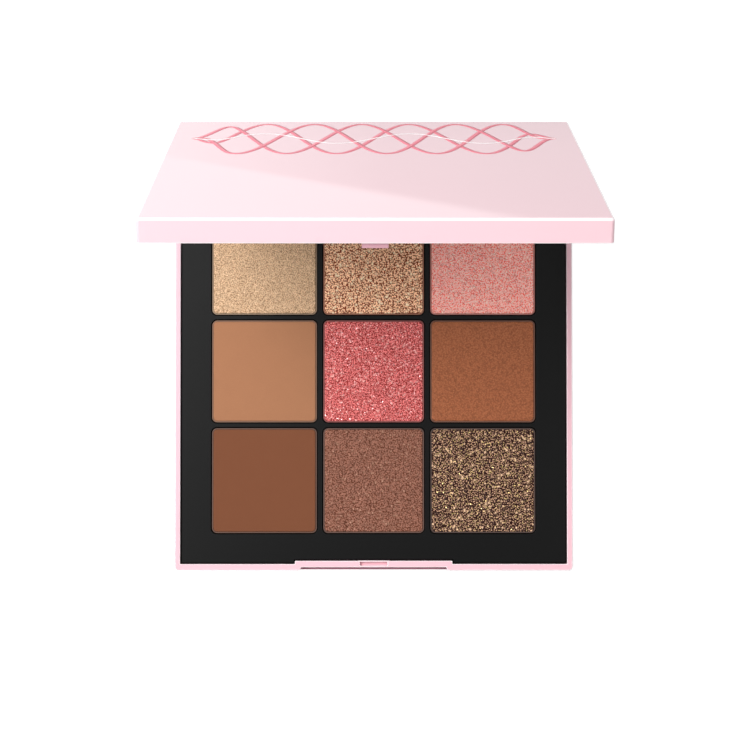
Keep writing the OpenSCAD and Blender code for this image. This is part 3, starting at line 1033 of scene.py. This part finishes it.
class PALETTE_OT_hinge(bpy.types.Operator):
    """Finish the hinge pins and the glue under the pans"""

    bl_idname = "palette.hinge"
    bl_label = "Hinge pins and glue"

    def execute(self, context):
        steel = moulded_material("drawn steel", srgb(200, 200, 203), 0.25, spread=0.2, clouding=0.05,
                                 grain=0.1 * MM, depth=0.001 * MM, stretch=(0.1, 1, 1), Metallic=1.0)
        glue = moulded_material("hot-melt glue", srgb(233, 226, 205), 0.35, spread=0.1,
                                clouding=0.08, grain=1.5 * MM, depth=0.02 * MM)
        repaint("hinge_pin_left", steel)
        repaint("hinge_pin_right", steel)
        repaint("pan_glue", glue)
        return {"FINISHED"}


class PALETTE_OT_ornament(bpy.types.Operator):
    """Print the braided waves across the hinge side of the lid"""

    bl_idname = "palette.ornament"
    bl_label = "Lid ornament"

    def execute(self, context):
        ornament = context.scene.palette_ornament
        low, high = closed_box("lid_shell")
        waves = wave_tree()
        half = ornament.height / 2
        middle = Vector((0, high.y - ornament.setback - half, high.z + ornament.film / 2))
        prints = (
            ("braid", ornament.coral, half, ornament.strands, ornament.stroke, BRAID_SWELL, 0),
            ("fine_wave", ornament.white, half * FINE_HEIGHT, 1, ornament.fine_stroke, FINE_SWELL,
             ornament.film),
        )
        for name, rgb, reach, strands, stroke, swell, lift in prints:
            ink = moulded_material(f"{name} ink", rgb, 0.4, spread=0.08, clouding=0.04,
                                   grain=0.12 * MM, Specular_IOR_Level=0.1)
            piece = show(name, bpy.data.meshes.new(name))
            add_tree(piece, waves, {
                "Length": high.x - low.x - 2 * ornament.margin, "Amplitude": reach - stroke / 2,
                "Waves": ornament.waves, "Strands": strands, "Stroke": stroke, "Swell": swell,
                "Taper": ornament.taper, "Film": ornament.film, "Material": ink,
            })
            mesh = settled(piece)
            mesh.transform(lid_swing() @ Matrix.Translation(middle + Vector((0, 0, lift))))
            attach(piece, "lid")
        return {"FINISHED"}


# Each softbox: its setting, its bearing seen from above and its height above the floor, in degrees,
# and its size and distance as a share of the studio's.
LIGHTS = (
    ("back_left", 150, 60, 1), ("left", 180, 65, 1), ("front", 270, 45, 1), ("right", 0, 65, 1),
    ("back_right", 45, 45, 1), ("near_left", 150, 40, 0.42),
)

# The table's brighter panel: the softness of its near edge, where its left part fades out, and
# where it ends behind the palette and on both sides.
PANEL_EDGE = 2 * MM
PANEL_LEFT = (-65 * MM, 2 * MM)
PANEL_DEPTH = (90 * MM, 180 * MM)
PANEL_SIDES = (80 * MM, 160 * MM)

# The floor's half width and cells, the tint of the surroundings, and the camera: its place, its
# turn in radians, its film's width in millimetres and the nearest thing that it shows.
FLOOR_HALF = 2.5
FLOOR_CELLS = 8
SURROUNDINGS = (1.0, 0.99, 0.985)
CAMERA_PLACE = (-1.661 * MM, -16.156 * MM, 473.283 * MM)
CAMERA_TURN = (0.0262, -0.0042, -0.0002)
SENSOR_WIDTH = 36
NEAREST_VIEW = 10 * MM


def place_light(name, watts, width, place, towards):
    light = bpy.data.lights.new(name, "AREA")
    light.shape = "SQUARE"
    light.size = width
    light.energy = watts
    lamp = bpy.data.objects.new(name, light)
    lamp.location = place
    lamp.rotation_euler = towards.to_track_quat("Z", "Y").to_euler()
    bpy.context.scene.collection.objects.link(lamp)


class PALETTE_OT_studio(bpy.types.Operator):
    """Set the floor, the lights, the surroundings and the camera"""

    bl_idname = "palette.studio"
    bl_label = "Studio"

    def execute(self, context):
        studio = context.scene.palette_studio
        context.scene.view_settings.view_transform = "Standard"
        self.make_floor(studio)
        self.make_surroundings(context, studio)
        for name, bearing, height, nearness in LIGHTS:
            turn = Euler((0, math.radians(-height), math.radians(bearing)))
            towards = turn.to_matrix() @ Vector((1, 0, 0))
            place_light(f"{name} softbox", getattr(studio, name), studio.softness * nearness,
                        towards * studio.reach * nearness, towards)
        self.make_camera(context, studio)
        return {"FINISHED"}

    def make_floor(self, studio):
        material, tree, shader = new_material("studio floor")
        surface = place_group(tree, "Moulded surface", moulded_group, {
            "Colour": opaque(studio.floor), "Clouding": 0.004, "Roughness": 0.9, "Grain Size": 5 * MM,
        })
        feed(tree, shader.inputs, {
            "Base Color": surface["Colour"], "Roughness": surface["Roughness"],
            "Emission Color": opaque((1, 1, 1)), "Specular IOR Level": 0.1,
            "Emission Strength": maths(tree, "MULTIPLY_ADD", self.panel_mask(tree, studio),
                                       studio.panel, studio.floor_lift),
        })
        work = bmesh.new()
        bmesh.ops.create_grid(work, x_segments=FLOOR_CELLS, y_segments=FLOOR_CELLS, size=FLOOR_HALF)
        show("floor", mesh_from(work, "floor"), material)

    def panel_mask(self, tree, studio):
        """One on the table's brighter panel, which the lid's glossy back mirrors, and zero elsewhere."""
        spot = split(tree, own_place(tree))
        slant = maths(tree, "MULTIPLY_ADD", spot["X"], math.tan(studio.panel_turn), studio.panel_start)
        beyond = maths(tree, "SUBTRACT", spot["Y"], slant)
        crisp = remap(tree, beyond, 0, PANEL_EDGE, 0, 1)
        wide = remap(tree, spot["X"], *PANEL_LEFT, 1, 0)
        near = maths(tree, "MAXIMUM", crisp, wide)
        far = remap(tree, beyond, *PANEL_DEPTH, 1, 0)
        side = remap(tree, maths(tree, "ABSOLUTE", spot["X"]), *PANEL_SIDES, 1, 0)
        return product(tree, near, far, side)

    def make_surroundings(self, context, studio):
        world = bpy.data.worlds.new("surroundings")
        world.use_nodes = True
        back = world.node_tree.nodes["Background"]
        back.inputs["Color"].default_value = opaque(SURROUNDINGS)
        back.inputs["Strength"].default_value = studio.fill
        context.scene.world = world

    def make_camera(self, context, studio):
        data = bpy.data.cameras.new("camera")
        data.sensor_width = SENSOR_WIDTH
        data.lens = studio.lens
        data.clip_start = NEAREST_VIEW
        camera = bpy.data.objects.new("camera", data)
        camera.location = CAMERA_PLACE
        camera.rotation_euler = CAMERA_TURN
        context.scene.collection.objects.link(camera)
        context.scene.camera = camera


# ---- add-on

OPERATORS = (
    PALETTE_OT_studio, PALETTE_OT_case, PALETTE_OT_tray, PALETTE_OT_pans, PALETTE_OT_powders,
    PALETTE_OT_flakes, PALETTE_OT_mirror, PALETTE_OT_hinge, PALETTE_OT_ornament,
)

SETTINGS = (
    ("palette_case", PaletteCase), ("palette_powders", PalettePowders),
    ("palette_ornament", PaletteOrnament), ("palette_studio", PaletteStudio),
)


class PALETTE_PT_panel(bpy.types.Panel):
    """Settings and pieces of the eyeshadow palette"""

    bl_idname = "PALETTE_PT_panel"
    bl_label = "Eyeshadow palette"
    bl_space_type = "VIEW_3D"
    bl_region_type = "UI"
    bl_category = "Palette"

    def draw(self, context):
        for name, group in SETTINGS:
            box = self.layout.box()
            box.label(text=group.__doc__)
            for key in group.__annotations__:
                box.prop(getattr(context.scene, name), key)
        for operator in OPERATORS:
            self.layout.operator(operator.bl_idname)


def register():
    for name, group in SETTINGS:
        bpy.utils.register_class(group)
        setattr(bpy.types.Scene, name, PointerProperty(type=group))
    for entry in (*OPERATORS, PALETTE_PT_panel):
        bpy.utils.register_class(entry)


def unregister():
    for entry in (PALETTE_PT_panel, *OPERATORS):
        bpy.utils.unregister_class(entry)
    for name, group in SETTINGS:
        delattr(bpy.types.Scene, name)
        bpy.utils.unregister_class(group)


def main():
    register()
    for operator in OPERATORS:
        module, name = operator.bl_idname.split(".")
        getattr(getattr(bpy.ops, module), name)()


if __name__ == "__main__":
    main()
